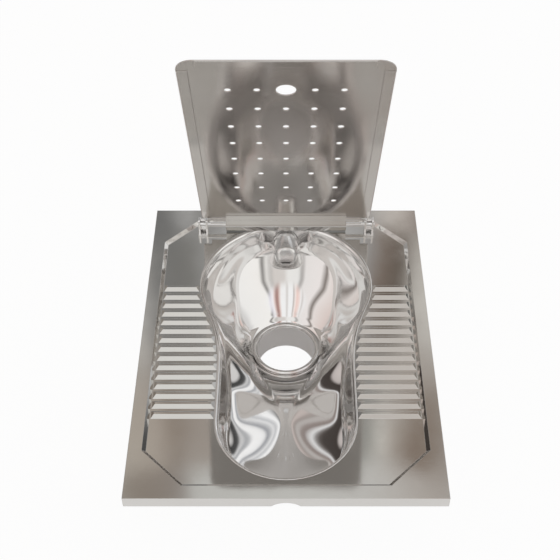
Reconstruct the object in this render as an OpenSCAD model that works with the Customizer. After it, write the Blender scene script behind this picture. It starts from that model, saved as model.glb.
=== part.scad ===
// Stainless steel squat toilet pan with two ribbed treads, a keyhole bowl,
// a flush nozzle, an open outlet spigot and a hinged, perforated cover.
// Millimetres. The origin is the middle of the deck in plan, on the plane of
// the apron's lower edge, which sits on the finished floor. +Y is the back.

/* [Deck] */
// Width of the deck over the apron
deck_w = 430; // [420:1:520]
// Length of the deck over the apron
deck_l = 566; // [560:1:640]
// Height of the deck above the floor
deck_h = 18; // [14:1:40]
// Thickness of the pressed sheet
sheet = 1.2; // [0.8:0.1:1.5]
// Width of the flat border at the sides
border_w = 19; // [14:1:24]
// Width of the flat border at the front and back
border_l = 20.5; // [14:0.5:24]
// Corner cut of the recess
recess_cut = 56.5; // [40:0.5:62]
// Depth of the recess below the border
recess_d = 5; // [4:0.5:8]
// Width of the drain notch in the front apron
notch_w = 39; // [20:1:60]
// Height of the drain notch in the front apron
notch_h = 8; // [4:0.5:11]

/* [Treads] */
// Number of ribs on each tread
rib_n = 15; // [6:1:15]
// Distance from rib to rib
rib_pitch = 17.7; // [16:0.1:18]
// Height of the ribs
rib_h = 4.6; // [3:0.1:4.8]
// Width of the flat top of a rib
rib_top = 4; // [3:0.5:5]
// Distance of the rearmost rib in front of the basin's centre
rib_fore = 13; // [8:1:18]
// Space between the ribs and the foot of the recess step
rib_side_gap = 1.5; // [0.5:0.5:8]
// Flat strip between the ribs and the rolled rim
rib_rim_gap = 0.5; // [0.5:0.5:6]

/* [Bowl] */
// Radius of the rear basin at its rim
basin_r = 129; // [124:1:132]
// Distance from the deck's rear edge to the basin's centre
basin_back = 164; // [161:1:168]
// Half width of the front trough at its rim
trough_r = 95; // [88:1:100]
// Distance from the deck's front edge to the centre of the round front end
trough_fore = 133; // [127:1:150]
// Distance from the basin's centre to the start of the trough's sides
waist_fore = 169; // [155:1:189]
// Radius of the roll of the deck sheet into the bowl
rim_roll = 5.5; // [4:0.5:6]
// Depth of the trough's floor below the border
trough_d = 78; // [60:1:95]
// Depth of the outlet lip below the border
lip_d = 118.5; // [110:0.5:150]
// Thickness of the bowl sheet
bowl_t = 1.2; // [0.8:0.1:1.5]
// Length over which the trough's floor rolls down to the outlet
roll_l = 95; // [80:1:105]
// Length over which the trough's floor widens to the outlet's width
fan_l = 185; // [160:1:200]

/* [Outlet] */
// Distance of the outlet's centre in front of the basin's centre
outlet_fore = 35; // [30:1:41]
// Inner radius of the outlet pipe
outlet_r = 46.5; // [40:0.5:48]
// Wall of the outlet pipe
outlet_wall = 1.5; // [1:0.1:2.5]
// Radius of the lip ring over the outlet
lip_r = 55; // [52:0.5:58]
// Height of the lip ring above its seat
lip_h = 5.5; // [4.5:0.5:7]
// Length of the outlet pipe below the lip ring's seat
outlet_l = 44; // [30:1:90]
// Depth of the step where the lip ring sits on the pipe
outlet_step = 0.5; // [0.3:0.1:0.7]

/* [Flush] */
// Outer radius of the flush nozzle
nozzle_r = 20; // [16:0.5:21]
// Wall of the flush nozzle
nozzle_wall = 1.5; // [1:0.1:2]
// Length of the nozzle's tube in front of the wall
nozzle_l = 31; // [24:1:36]
// Length of the nozzle's closed tip
tip_l = 13; // [10:1:18]
// Depth of the nozzle's axis below the border
nozzle_d = 36; // [34:1:40]
// Radius of the nozzle's rounded lip
tip_r = 7; // [5:0.5:8]
// Width of the nozzle's slit
slit_w = 15; // [10:1:22]
// Height of the nozzle's slit
slit_h = 3; // [2:0.2:4]
// Outer radius of the inlet pipe behind the bowl
inlet_r = 16; // [12:0.5:18]
// Wall of the inlet pipe
inlet_wall = 1.5; // [1:0.1:2]
// Width of the ring around the nozzle
ring_w = 1.5; // [1:0.1:3]
// Length of the ring around the nozzle
ring_l = 3.5; // [2:0.1:5]

/* [Hinge] */
// Radius of the hinge rod
rod_r = 3.5; // [2.5:0.1:4]
// Running clearance between the rod and the cover's leaf
rod_fit = 0.05; // [0.03:0.01:0.1]
// Distance from the deck's rear edge to the hinge rod
hinge_back = 43.2; // [41:0.2:45]
// Height of the hinge rod above the border
hinge_up = 8; // [7:0.5:12]
// Distance from the deck's side to the middle of a bracket
bracket_in = 79.5; // [77:0.5:83]
// Width of a bracket along the rod
bracket_w = 15; // [12:1:18]
// Height of a bracket above the rod's axis
bracket_up = 12; // [9:0.5:12.5]
// Half the depth of a bracket
bracket_d = 6.5; // [6:0.5:7.5]
// Thickness of a bracket's two cheeks
cheek_t = 3; // [2:0.5:4]
// Thickness of the bracket's foot
bracket_foot = 1.6; // [1.2:0.1:3]
// Reach of the bracket's foot towards the bowl
foot_reach = 11; // [9:0.5:13]

/* [Cover] */
// Reach of the cover's sides past the middles of the brackets
cover_over = 0.5; // [-3:0.5:3]
// Distance from the closed cover's front edge to the deck's front edge
cover_fore = 31.8; // [27:0.2:43]
// Thickness of the cover's sheet
cover_t = 1.2; // [0.8:0.1:1.5]
// Angle of the cover above its closed position
cover_open = 65.4; // [20:0.2:90]
// Radius of the cover's front corners
cover_r = 22; // [8:1:30]
// Width of the folded hems
hem_w = 14.5; // [8:0.5:18]
// Half the width of the leaf's sleeve around the rod
leaf_r = 8; // [6.5:0.1:8.5]
// Distance from the cover's side to the hinge leaf
leaf_in = 38; // [26:1:76]
// Length of the hinge leaf on the cover
leaf_l = 17; // [12:1:24]
// Number of rows of holes
hole_rows = 8; // [2:1:9]
// Number of columns of holes
hole_cols = 5; // [3:2:7]
// Distance from the cover's front edge to the last row
hole_last = 69.6; // [60:0.1:80]
// Distance from the cover's side to the outer columns
hole_side = 61.6; // [50:0.1:70]
// Radius of the holes
hole_r = 4.3; // [2:0.1:6]
// Place of the row nearest the hinge
hole_first = 83.3; // [70:0.1:90]
// Radius of the finger hole
finger_r = 13; // [10:0.5:15]

/* [Underside] */
// Distance of the stiffeners from the foot of the recess step
stiff_in = 23; // [19:1:27]
// Width of the stiffeners under the treads
stiff_w = 26; // [18:1:34]
// Depth of the stiffeners under the treads
stiff_d = 9; // [6:0.5:10]
// Width of an anchor lug
lug_w = 25; // [16:1:36]
// Reach of the anchor lugs below the apron
lug_drop = 28; // [10:1:60]

/* [Hidden] */
steel = [0.78, 0.77, 0.75];
steel_dark = [0.62, 0.61, 0.60];
eps = 0.01;

// Places along the deck and widths across it
basin_y = deck_l / 2 - basin_back;
outlet_y = basin_y - outlet_fore;
waist_y = basin_y - waist_fore;
trough_y = trough_fore - deck_l / 2;
rib_back_y = basin_y - rib_fore;
hinge_y = deck_l / 2 - hinge_back;
bracket_gap = deck_w - 2 * bracket_in;
cover_w = bracket_gap + 2 * cover_over;
cover_l = deck_l - hinge_back - cover_fore;
leaf_w = cover_w - 2 * leaf_in;
row_pitch = (cover_l - hole_first - hole_last) / (hole_rows - 1);
col_pitch = (cover_w - 2 * hole_side) / (hole_cols - 1);

// Heights
floor_z = deck_h - recess_d;
rim_z = floor_z - rim_roll;
seat_z = deck_h - lip_d - lip_h;
trough_z = deck_h - trough_d;
hinge_z = deck_h + hinge_up;
nozzle_z = deck_h - nozzle_d;

// Recess: half sizes and corner cut at the border's edge
recess_x = deck_w / 2 - border_w;
recess_y = deck_l / 2 - border_l;
foot_x = recess_x - recess_d;
stiff_x = foot_x - stiff_in;

// Keyhole outline: the concave side arcs touch the basin's circle and run
// into the trough's straight sides at waist_y.
waist_a = basin_y - waist_y;
side_r = (pow(trough_r, 2) + pow(waist_a, 2) - pow(basin_r, 2))
  / (2 * (basin_r - trough_r));
side_x = trough_r + side_r;
side_a = asin(waist_a / (basin_r + side_r));

// Half width of the keyhole at a place y
function half_w(y) =
  y > basin_y - basin_r * sin(side_a)
    ? sqrt(max(0, pow(basin_r, 2) - pow(y - basin_y, 2)))
  : y > waist_y ? side_x - sqrt(pow(side_r, 2) - pow(y - waist_y, 2))
  : y > trough_y ? trough_r
  : sqrt(max(0, pow(trough_r, 2) - pow(y - trough_y, 2)));

// ---- deck ----

// A band with 45 degree sides: half width a at height z0, wider going up
module slope_band(a, z0, z1, turn)
  rotate([0, 0, turn])
    rotate([90, 0, 0])
      linear_extrude(deck_l * 2, center = true)
        polygon([[-a, z0], [a, z0], [a + z1 - z0, z1], [-a - z1 + z0, z1]]);

// The recess as a block with eight sloping sides, d wider all round at z0
module recess_block(d, z0, z1) {
  ax = foot_x + d;
  ay = recess_y - recess_d + d;
  ad = (recess_x + recess_y - recess_cut) / sqrt(2) - recess_d + d;
  intersection() {
    slope_band(ax, z0, z1, 0);
    slope_band(ay, z0, z1, 90);
    slope_band(ad, z0, z1, 45);
    slope_band(ad, z0, z1, -45);
  }
}

// The opening for the bowl, d outside the rim
module opening(d, z0, z1)
  translate([0, 0, z0])
    linear_extrude(z1 - z0)
      polygon([for (i = [0 : n_ray - 1]) rim(i) + d * rim_out(i)]);

// One rib as a block with 45 degree sides and hipped ends, from x0 to x1
module rib_block(y, x0, x1, z0, h, top, cut)
  intersection() {
    translate([(x0 + x1) / 2, y, z0])
      rotate([90, 0, 90])
        linear_extrude(x1 - x0 + 2, center = true)
          polygon([[-top / 2 - h, 0], [top / 2 + h, 0],
            [top / 2, h], [-top / 2, h]]);
    translate([0, y + cut, z0])
      rotate([90, 0, 0])
        linear_extrude(2 * cut)
          polygon([[x0, 0], [x1, 0], [x1 - h, h], [x0 + h, h]]);
  }

function rib_y(i) = rib_back_y - i * rib_pitch;
// The inner end stays clear of the rolled rim over the whole width of the rib
function rib_in(i) = max(half_w(rib_y(i) - rib_top / 2 - rib_h),
  half_w(rib_y(i) + rib_top / 2 + rib_h)) + rim_roll + rib_rim_gap;
rib_out = foot_x - rib_side_gap;
// Sloping sheet of thickness t moves a 45 degree face by this much
skew = sheet * (sqrt(2) - 1);

module rib_outside(i)
  rib_block(rib_y(i), rib_in(i), rib_out, floor_z - eps, rib_h + eps,
    rib_top, rib_h + rib_top);

module rib_inside(i)
  rib_block(rib_y(i), rib_in(i) + skew, rib_out - skew,
    floor_z - sheet, rib_h, rib_top - 2 * skew, rib_h + rib_top);

module deck_tray()
  color(steel) {
    difference() {
      union() {
        difference() {
          translate([-deck_w / 2, -deck_l / 2, 0])
            cube([deck_w, deck_l, deck_h]);
          translate([-deck_w / 2 + sheet, -deck_l / 2 + sheet, -1])
            cube([deck_w - 2 * sheet, deck_l - 2 * sheet,
              deck_h - sheet + 1]);
        }
        recess_block(skew, floor_z - sheet, deck_h - sheet + eps);
      }
      recess_block(0, floor_z, deck_h + 1);
      opening(rim_roll, floor_z - sheet - 1, floor_z + 1);
      for (i = [0 : rib_n - 1], s = [0, 1])
        mirror([s, 0, 0])
          translate([0, 0, -eps]) rib_inside(i);
      // drain notch in the front apron
      notch_r = (pow(notch_w / 2, 2) + pow(notch_h, 2)) / (2 * notch_h);
      translate([0, -deck_l / 2 - 1, notch_h - notch_r])
        rotate([-90, 0, 0]) cylinder(sheet + 2, r = notch_r, $fn = 96);
    }
    for (i = [0 : rib_n - 1], s = [0, 1])
      mirror([s, 0, 0])
        difference() {
          rib_outside(i);
          rib_inside(i);
        }
  }

// ---- bowl: one smooth surface from the keyhole rim to the outlet's seat ----

n_rear = 18;
n_side = 7;
n_line = 3;
n_front = 14;
n_half = n_rear + n_side + n_line + n_front;
n_ray = 2 * n_half;
n_ring = 14;
n_roll = 4;
n_all = n_ring + n_roll;

// Outline of the right half, from the back to the front: place and the
// direction that points out of the bowl
function rim_half(i) =
  i <= n_rear
    ? let (a = 90 - (90 + side_a) * i / n_rear, e = [cos(a), sin(a)])
      [[0, basin_y] + basin_r * e, e]
  : i <= n_rear + n_side
    ? let (a = 180 - side_a * (1 - (i - n_rear) / n_side),
        e = [cos(a), sin(a)])
      [[side_x, waist_y] + side_r * e, -e]
  : i <= n_rear + n_side + n_line
    ? [[trough_r, waist_y
        + (trough_y - waist_y) * (i - n_rear - n_side) / n_line], [1, 0]]
  : let (a = -90 * (i - n_rear - n_side - n_line) / n_front,
      e = [cos(a), sin(a)])
    [[0, trough_y] + trough_r * e, e];
function rim_pair(i) =
  let (k = (i + n_ray) % n_ray)
  k <= n_half ? rim_half(k)
    : let (p = rim_half(n_ray - k))
      [[-p[0][0], p[0][1]], [-p[1][0], p[1][1]]];
function rim(i) = rim_pair(i)[0];
function rim_out(i) = rim_pair(i)[1];

// Share of the way out, from the lip ring's edge at 0 to the rim at 1
function share(j) =
  let (t = max(0, j - 1) / (n_ring - 1)) t - 0.11 * sin(360 * t);

// Basin: circles that grow and move back from the lip ring to the rim
function basin_s(x, y) =
  let (m = basin_y - outlet_y, g = basin_r - lip_r, v = y - outlet_y,
    a = m * m - g * g, b = -2 * (v * m + lip_r * g),
    c = x * x + v * v - lip_r * lip_r)
  (-b - sqrt(max(0, b * b - 4 * a * c))) / (2 * a);
// A steep wall outside and a chute inside; behind the outlet the wall is
// nearly upright and the chute is long, at the sides the wall is all there is
function ease(t) = let (c = max(0, min(1, t))) c * c * (3 - 2 * c);
function basin_h(x, y) =
  let (s = min(1.2, max(0, basin_s(x, y))),
    q = y - outlet_y - (basin_y - outlet_y) * s,
    c = max(0, min(1, (q / max(1, norm([x, q])) + 0.3) / 1.3)),
    k = 0.05 + 0.91 * ease(c), a = 0.645 + 0.15 * (1 - c),
    chute = a * s, wall = 1 - (1 - s) * (1 - a * k) / (1 - k))
  seat_z + (rim_z - seat_z) * -low(-chute, -wall, 0.2);

// Trough: a rounded V with steep outer walls and a round front end; towards
// the outlet its floor widens like a fan and rolls down to the lip ring, and
// its sides turn into the basin's
trough_back = outlet_y - lip_r;
function trough_end(x) =
  outlet_y - sqrt(pow(lip_r, 2) - pow(min(abs(x), 0.97 * lip_r), 2));
function trough_floor(x, y) =
  let (k = max(0, min(1, 1 + (y - trough_end(x)) / roll_l)),
    z0 = trough_z - 0.05 * (min(y, trough_end(x) - roll_l) - trough_y))
  z0 + (seat_z - z0) * k * k * (2.6 - 1.6 * k);
function trough_flat(y) =
  lip_r * pow(sin(90 * max(0, min(1, 1 + (y - outlet_y) / fan_l))), 1.6);
function trough_u(x, y) =
  let (f = trough_flat(y), u = max(0, abs(x) - f)
    / (half_w(max(y, trough_y)) - f),
    m = ease((y - trough_back + 20) / (lip_r + 20)))
  m > 0 ? u + m * (basin_s(x, y) - u) : u;
function trough_h(x, y) =
  let (u = trough_u(x, y), z = trough_floor(x, y),
    out = y > trough_y ? u : norm([x, y - trough_y]) / trough_r,
    vee = 0.25 + 0.2 * ease((y - trough_y + 50) / 90)
      + 0.55 * ease((y - waist_y + 10) / 100),
    nose = 0.07 + 0.25 * ease((trough_y + 60 - y) / 110),
    side = vee * (norm([nose, u]) - nose) / (norm([nose, 1]) - nose))
  out < 1 ? z + (rim_z - z) * (side + (1 - side) * pow(max(0, out), 9))
    : rim_z + 60 * (out - 1);

// Smooth lower envelope of the two hollows
function low(a, b, blend) =
  let (h = max(0, blend - abs(a - b)) / blend)
  min(a, b) - h * h * blend / 4;
function bowl_h(x, y) =
  let (a = basin_h(x, y), b = trough_h(x, y),
    soft = ease((rim_z - min(a, b)) / 45))
  max(seat_z, min(rim_z, low(a, b, 0.5 + 13 * soft)));

// Point on the roll that joins the bowl to the deck sheet, radius r
function roll(i, j, r) =
  let (a = 90 * (j - n_ring) / n_roll,
    p = rim(i) + (rim_roll - r * cos(a)) * rim_out(i))
  [p[0], p[1], rim_z + r * sin(a)];

// Point on the inside of the bowl: ray i, ring j
function inside(i, j) =
  j >= n_ring ? roll(i, j, rim_roll)
  : let (p = rim(i), d = [p[0], p[1] - outlet_y], l = norm(d), e = d / l,
      pipe = neck_r + 0.3, edge = lip_r + 0.5,
      r = j == 0 ? pipe : edge + (l - edge) * share(j),
      x = e[0] * r, y = outlet_y + e[1] * r)
    [x, y, j <= 1 ? seat_z : bowl_h(x, y)];

// Point on the outside: one sheet thickness away along the surface's normal
function outside(i, j) =
  j >= n_ring ? roll(i, j, rim_roll - bowl_t)
  : j <= 1 ? inside(i, j) - [0, 0, bowl_t]
  : let (u = inside(i + 1, j) - inside(i - 1, j),
      v = inside(i, j + 1) - inside(i, j - 1), n = cross(u, v))
    inside(i, j) - bowl_t * n / norm(n);

// A sector of the bowl from ray i0 to ray i1, closed all round
module bowl_sector(i0, i1) {
  m = i1 - i0;
  k = n_all + 1;
  o = (m + 1) * k;
  pts = concat(
    [for (i = [0 : m], j = [0 : n_all]) inside(i0 + i, j)],
    [for (i = [0 : m], j = [0 : n_all]) outside(i0 + i, j)]);
  skin = [for (i = [0 : m - 1], j = [0 : n_all - 1])
    let (a = i * k + j)
    each [[a, a + 1, a + k + 1], [a, a + k + 1, a + k],
      [o + a, o + a + k + 1, o + a + 1], [o + a, o + a + k, o + a + k + 1]]];
  ends = [for (j = [0 : n_all - 1])
    let (a = j, b = m * k + j)
    each [[a, o + a, o + a + 1], [a, o + a + 1, a + 1],
      [b, o + b + 1, o + b], [b, b + 1, o + b + 1]]];
  edges = [for (i = [0 : m - 1])
    let (a = i * k, b = i * k + n_all)
    each [[a, a + k, o + a + k], [a, o + a + k, o + a],
      [b, o + b + k, b + k], [b, o + b, o + b + k]]];
  polyhedron(pts, concat(skin, ends, edges));
}

module bowl_basin()
  color(steel)
    difference() {
      bowl_sector(-n_rear, n_rear);
      // the nozzle passes through the wall
      on_nozzle()
        translate([0, 0, -back_l - 20])
          cylinder(nozzle_l + back_l + 20, r = nozzle_r, $fn = 64);
      on_nozzle()
        translate([0, 0, ring_z]) cylinder(ring_l, r = ring_r, $fn = 64);
    }
module bowl_trough()
  color(steel) bowl_sector(n_rear, n_ray - n_rear);

// ---- outlet ----

pipe_r = outlet_r + outlet_wall;
neck_r = pipe_r - outlet_step;

// The lip ring: its top is a half round
lip_round = (lip_r - neck_r) / 2;

module outlet_collar()
  color(steel)
    translate([0, outlet_y, seat_z])
      rotate_extrude($fn = 96) {
        translate([neck_r, 0])
          square([2 * lip_round, lip_h - lip_round]);
        intersection() {
          translate([neck_r + lip_round, lip_h - lip_round])
            circle(lip_round, $fn = 48);
          translate([neck_r, lip_h - lip_round - eps])
            square([2 * lip_round, lip_round + 1]);
        }
      }

module outlet_pipe()
  color(steel)
    translate([0, outlet_y, seat_z - outlet_l])
      difference() {
        union() {
          cylinder(outlet_l - bowl_t - 0.8, r = pipe_r, $fn = 96);
          cylinder(outlet_l + lip_h - lip_round, r = neck_r, $fn = 96);
        }
        translate([0, 0, -1])
          cylinder(outlet_l + lip_h + 2, r = outlet_r, $fn = 96);
      }

// ---- flush inlet ----

// The nozzle starts at the rear wall and ends behind it in a flange
wall_y = basin_y + basin_r - 2;
back_l = 6;
pass_r = nozzle_r - 2.5 - nozzle_wall;

// Local +Z points along the jet and local +Y up
module on_nozzle()
  translate([0, wall_y, nozzle_z])
    rotate([90, 0, 0]) children();

ring_r = nozzle_r + ring_w;
ring_z = 2.5;
front_r = nozzle_r - 2.5;

// The tip slopes forward and down to a rounded lip with the slit
tip_x = front_r - tip_r - 1;
module nozzle_tip(grow)
  hull() {
    translate([0, 0, nozzle_l - 0.2])
      cylinder(0.2, r = front_r - grow, $fn = 64);
    for (s = [-1, 1])
      translate([s * tip_x, -tip_x, nozzle_l + tip_l - tip_r])
        sphere(tip_r - grow, $fn = 32);
  }

module flush_nozzle()
  color(steel)
    on_nozzle()
      difference() {
        union() {
          translate([0, 0, -back_l])
            cylinder(ring_z + ring_l + back_l, r = nozzle_r, $fn = 64);
          rotate_extrude($fn = 64)
            polygon([[0, ring_z], [nozzle_r, ring_z + ring_l],
              [front_r, nozzle_l], [0, nozzle_l]]);
          nozzle_tip(0);
        }
        translate([0, 0, -back_l - 1])
          cylinder(nozzle_l + back_l, r = pass_r, $fn = 64);
        translate([-slit_w / 2, -tip_x - 3 - slit_h / 2, nozzle_l - 2])
          cube([slit_w, slit_h, tip_l + 4]);
      }

module nozzle_collar()
  color(steel)
    on_nozzle()
      translate([0, 0, ring_z])
        difference() {
          cylinder(ring_l, r = ring_r, $fn = 64);
          translate([0, 0, -1]) cylinder(ring_l + 2, r = nozzle_r, $fn = 64);
        }

// The inlet pipe sits in the flange with a neck half a millimetre thinner
inlet_neck = inlet_r - 0.5;

module inlet_flange()
  color(steel)
    on_nozzle()
      translate([0, 0, -back_l - inlet_wall])
        difference() {
          cylinder(inlet_wall, r = nozzle_r, $fn = 64);
          translate([0, 0, -1])
            cylinder(inlet_wall + 2, r = inlet_neck, $fn = 64);
        }

module inlet_pipe()
  color(steel)
    translate([0, wall_y + back_l, nozzle_z])
      rotate([-90, 0, 0])
        difference() {
          union() {
            cylinder(inlet_l, r = inlet_neck, $fn = 64);
            translate([0, 0, inlet_wall + 0.5])
              cylinder(inlet_l - inlet_wall - 0.5, r = inlet_r, $fn = 64);
          }
          translate([0, 0, -1])
            cylinder(deck_l, r = inlet_r - inlet_wall, $fn = 64);
        }
inlet_l = deck_l / 2 - wall_y - back_l - 2;

// ---- hinge ----

// Two cheeks on a foot; their upper corners are round
module bracket_side()
  difference() {
    union() {
      for (v = [-1, 1])
        translate([hinge_y + v * (bracket_d - 3), hinge_z + bracket_up - 3])
          circle(3, $fn = 32);
      translate([hinge_y - bracket_d + 3, hinge_z])
        square([2 * bracket_d - 6, bracket_up]);
      translate([hinge_y - bracket_d, floor_z])
        square([2 * bracket_d, hinge_z + bracket_up - 3 - floor_z]);
    }
    translate([hinge_y, hinge_z]) circle(rod_r, $fn = 64);
  }

module hinge_bracket(side)
  color(steel)
    translate([side * bracket_gap / 2 - bracket_w / 2, 0, 0]) {
      for (x = [0, bracket_w - cheek_t])
        translate([x, 0, 0])
          rotate([90, 0, 90]) linear_extrude(cheek_t) bracket_side();
      translate([0, hinge_y - bracket_d - foot_reach + 3.5, floor_z])
        cube([bracket_w, 2 * bracket_d + foot_reach - 3.5, bracket_foot]);
      // web between the cheeks behind the rod
      translate([0, hinge_y + rod_r + 0.8, floor_z])
        cube([bracket_w, bracket_d - rod_r - 0.8,
          hinge_z + bracket_up - 3 - floor_z]);
    }

module hinge_bracket_left() hinge_bracket(-1);
module hinge_bracket_right() hinge_bracket(1);

rod_l = bracket_gap + bracket_w + 3;

module hinge_rod()
  color(steel)
    translate([-rod_l / 2, hinge_y, hinge_z])
      rotate([0, 90, 0]) cylinder(rod_l, r = rod_r, $fn = 64);

// ---- cover, drawn closed with the rod at the origin ----

module on_hinge()
  translate([0, hinge_y, hinge_z])
    rotate([-cover_open, 0, 0]) children();

curl_r = rod_r + rod_fit;
cover_z = curl_r + cover_t;
// The rear corners stay clear of the brackets
notch_x = bracket_gap / 2 - bracket_w / 2 - 5;
notch_v = norm([bracket_up, bracket_d]) + 1.5;

// A folded sleeve that turns on the rod in its two end bushes, and a tongue
// under the cover's sheet
bush_l = 6;
leaf_fold = 3;

// Section of the sleeve, d smaller all round
module sleeve(d)
  intersection() {
    translate([-leaf_r + d, -leaf_r + d])
      square([2 * (leaf_r - d), leaf_r + cover_z + cover_t - 2 * d]);
    circle(leaf_r + leaf_fold - 0.5 - d, $fn = 64);
  }

module cover_leaf()
  color(steel)
    on_hinge()
      difference() {
        union() {
          rotate([90, 0, 90])
            linear_extrude(leaf_w, center = true) sleeve(0);
          translate([-leaf_w / 2, -leaf_l - leaf_r, curl_r])
            cube([leaf_w, leaf_l + leaf_r, cover_t]);
        }
        rotate([90, 0, 90])
          linear_extrude(leaf_w - 2 * bush_l, center = true) sleeve(cover_t);
        rotate([0, 90, 0])
          cylinder(leaf_w + 2, r = curl_r, center = true, $fn = 64);
      }

module cover_outline() {
  w = cover_w / 2;
  difference() {
    union() {
      translate([-w, -cover_l + cover_r])
        square([cover_w, cover_l - cover_r - notch_v]);
      translate([-w + cover_r, -cover_l])
        square([cover_w - 2 * cover_r, cover_r + 1]);
      for (s = [-1, 1])
        translate([s * (w - cover_r), -cover_l + cover_r])
          circle(cover_r, $fn = 64);
      translate([-notch_x, -notch_v - 1])
        square([2 * notch_x, notch_v + 1 - leaf_r]);
    }
    for (i = [0 : hole_rows - 1],
        j = [-(hole_cols - 1) / 2 : (hole_cols - 1) / 2])
      if (!(i == hole_rows - 1 && j == 0))
        translate([j * col_pitch, -hole_first - i * row_pitch])
          circle(hole_r, $fn = 24);
    translate([0, -hole_first - (hole_rows - 1) * row_pitch])
      circle(finger_r, $fn = 48);
  }
}

// Folded hem along X, its fold at y = 0, the flap towards +Y under the sheet
module hem(l)
  translate([0, 0, cover_z])
    rotate([90, 0, 90])
      linear_extrude(l, center = true) {
        translate([cover_t, -cover_t]) square([hem_w - cover_t, cover_t + eps]);
        intersection() {
          translate([cover_t, 0]) circle(cover_t, $fn = 32);
          translate([0, -cover_t]) square([cover_t + eps, cover_t + eps]);
        }
      }

module cover_panel()
  color(steel)
    on_hinge() {
      side_l = cover_l - cover_r - notch_v - 4;
      translate([0, 0, cover_z]) linear_extrude(cover_t) cover_outline();
      for (s = [-1, 1])
        translate([s * cover_w / 2, -notch_v - 2 - side_l / 2, 0])
          rotate([0, 0, s * 90]) hem(side_l);
      translate([0, -cover_l, 0]) hem(cover_w - 2 * cover_r - 6);
    }

// ---- underside ----

stiff_l = (rib_n - 1) * rib_pitch + rib_top + 2 * rib_h + 16;
stiff_y = rib_back_y - (rib_n - 1) * rib_pitch / 2;

// Top hat channel, open side up, welded under the valleys of the tread
module tread_stiffener(side)
  color(steel_dark)
    translate([side * stiff_x, stiff_y + stiff_l / 2, floor_z - sheet])
      rotate([90, 0, 0])
        linear_extrude(stiff_l)
          difference() {
            union() {
              translate([-stiff_w / 2, -sheet]) square([stiff_w, sheet]);
              translate([-stiff_w / 4, -stiff_d])
                square([stiff_w / 2, stiff_d]);
            }
            translate([-stiff_w / 4 + sheet, -stiff_d + sheet])
              square([stiff_w / 2 - 2 * sheet, stiff_d]);
          }

module tread_stiffener_left() tread_stiffener(-1);
module tread_stiffener_right() tread_stiffener(1);

// Bent strip under the border that is set in the mortar
lug_y = deck_l / 2 - 75;
lug_t = 2;

module anchor_lug(sx, sy)
  color(steel_dark)
    mirror([sx < 0 ? 1 : 0, 0, 0])
      translate([deck_w / 2 - sheet - lug_t, sy * lug_y - lug_w / 2, 0]) {
        translate([0, 0, -lug_drop])
          cube([lug_t, lug_w, lug_drop + deck_h - sheet]);
        translate([lug_t - 14, 0, -lug_drop]) cube([14, lug_w, lug_t]);
      }

module anchor_lug_front_left() anchor_lug(-1, -1);
module anchor_lug_front_right() anchor_lug(1, -1);
module anchor_lug_rear_left() anchor_lug(-1, 1);
module anchor_lug_rear_right() anchor_lug(1, 1);

deck_tray();
bowl_basin();
bowl_trough();
outlet_collar();
outlet_pipe();
flush_nozzle();
nozzle_collar();
inlet_pipe();
inlet_flange();
hinge_bracket_left();
hinge_bracket_right();
hinge_rod();
tread_stiffener_left();
tread_stiffener_right();
anchor_lug_front_left();
anchor_lug_front_right();
anchor_lug_rear_left();
anchor_lug_rear_right();
cover_leaf();
cover_panel();
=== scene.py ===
import math

import bmesh
import bpy
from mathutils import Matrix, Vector


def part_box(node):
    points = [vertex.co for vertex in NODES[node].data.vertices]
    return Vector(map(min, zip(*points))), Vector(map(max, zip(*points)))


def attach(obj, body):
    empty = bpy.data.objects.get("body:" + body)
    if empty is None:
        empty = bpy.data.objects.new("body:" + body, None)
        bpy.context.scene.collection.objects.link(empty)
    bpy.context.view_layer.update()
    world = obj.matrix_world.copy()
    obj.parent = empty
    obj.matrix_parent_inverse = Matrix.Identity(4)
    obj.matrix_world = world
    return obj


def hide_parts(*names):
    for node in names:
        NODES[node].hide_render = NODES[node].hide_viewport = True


bl_info = {
    "name": "Squat Toilet Pan",
    "version": (1, 0, 0),
    "blender": (4, 5, 0),
    "location": "View3D > Sidebar > Pan",
    "description": "Dresses a stainless steel squat pan with its hinged cover",
    "category": "Object",
}

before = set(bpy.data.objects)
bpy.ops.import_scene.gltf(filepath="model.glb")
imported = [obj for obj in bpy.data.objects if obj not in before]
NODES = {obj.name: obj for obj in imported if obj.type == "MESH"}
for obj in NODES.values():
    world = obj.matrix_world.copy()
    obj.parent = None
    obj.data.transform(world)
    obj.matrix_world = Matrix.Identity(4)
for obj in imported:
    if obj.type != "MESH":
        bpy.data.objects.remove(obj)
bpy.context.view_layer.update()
MM = 0.001


# ---------------------------------------------------------------- settings


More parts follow.
